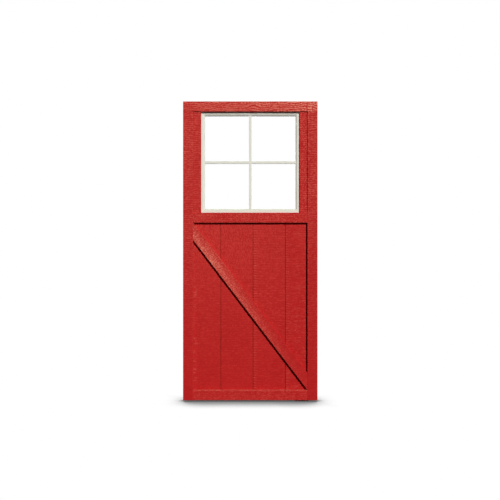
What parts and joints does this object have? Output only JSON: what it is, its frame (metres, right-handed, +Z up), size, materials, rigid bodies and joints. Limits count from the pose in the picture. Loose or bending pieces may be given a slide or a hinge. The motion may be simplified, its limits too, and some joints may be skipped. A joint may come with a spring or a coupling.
{
  "type": "sliding barn door",
  "caption": "Red boarded sliding barn door leaf with a diagonal brace and a divided ivory window, carried by a concealed track on wall rollers and steered by a floor guide.",
  "frame": {"origin": "On the floor line, under the middle of the closed leaf's width and the middle of the whole depth from the leaf's front face to the wall plane.", "axes": "+X runs across the leaf to the right as seen from the front and is the way it opens, -Y looks out of the front, +Y points into the wall, +Z is up."},
  "size_m": [0.9144, 0.087, 2.042],
  "materials": {
    "red_boards": "rough-sawn softwood boards with a matt red coat, saw marks across the grain",
    "red_siding": "grooved rough-sawn sheet siding with a matt red coat",
    "ivory_sash": "ivory satin vinyl window sections",
    "clear_glass": "clear float glass",
    "gasket_rubber": "black glazing rubber",
    "zinc_steel": "zinc-plated steel",
    "track_aluminium": "mill-finish aluminium bar and strip",
    "black_nylon": "black moulded nylon",
    "bronze_bush": "sintered bronze"
  },
  "bodies": {
    "wall_carriage": {"wall_plate": "zinc_steel", "axle_pins": "zinc_steel", "axle_spacers": "zinc_steel", "floor_guide": "black_nylon"},
    "leaf": {"left_stile": "red_boards", "right_stile": "red_boards", "top_rail": "red_boards", "middle_rail": "red_boards", "bottom_rail": "red_boards", "diagonal_brace": "red_boards", "left_window_trim": "red_boards", "right_window_trim": "red_boards", "siding_panel": "red_siding", "back_left_stile": "red_boards", "back_right_stile": "red_boards", "back_top_rail": "red_boards", "back_middle_rail": "red_boards", "back_bottom_rail": "red_boards", "back_left_window_trim": "red_boards", "back_right_window_trim": "red_boards", "sash_left_stile": "ivory_sash", "sash_right_stile": "ivory_sash", "sash_top_rail": "ivory_sash", "sash_bottom_rail": "ivory_sash", "muntin_vertical": "ivory_sash", "muntin_left": "ivory_sash", "muntin_right": "ivory_sash", "glass_pane": "clear_glass", "glazing_gasket": "gasket_rubber", "glazing_bead_top": "ivory_sash", "glazing_bead_bottom": "ivory_sash", "glazing_bead_left": "ivory_sash", "glazing_bead_right": "ivory_sash", "window_stop_top": "red_boards", "window_stop_bottom": "red_boards", "window_stop_left": "red_boards", "window_stop_right": "red_boards", "board_screws": "zinc_steel", "brace_screws": "zinc_steel", "track_screws": "zinc_steel", "track_bar_upper": "track_aluminium", "track_bar_lower": "track_aluminium", "track_keeper_upper": "track_aluminium", "track_keeper_lower": "track_aluminium", "track_stop_left": "black_nylon", "track_stop_right": "black_nylon"},
    "left_roller": {"roller_left": "black_nylon", "roller_bush_left": "bronze_bush"},
    "right_roller": {"roller_right": "black_nylon", "roller_bush_right": "bronze_bush"}
  },
  "joints": [
    {"name": "leaf_slide", "type": "slide", "parent": "wall_carriage", "child": "leaf", "axis": [1, 0, 0], "range_m": [0, 0.699]},
    {"name": "left_roller_spin", "type": "hinge", "parent": "wall_carriage", "child": "left_roller", "pos_m": [0.2895, 0.0197, 2.0136], "axis": [0, 1, 0], "continuous": true},
    {"name": "right_roller_spin", "type": "hinge", "parent": "wall_carriage", "child": "right_roller", "pos_m": [0.4095, 0.0197, 2.0136], "axis": [0, 1, 0], "continuous": true}
  ],
  "couplings": [
    {"joint": "left_roller_spin", "follows": "leaf_slide", "rad_per_m": 62.5},
    {"joint": "right_roller_spin", "follows": "leaf_slide", "rad_per_m": 62.5}
  ]
}
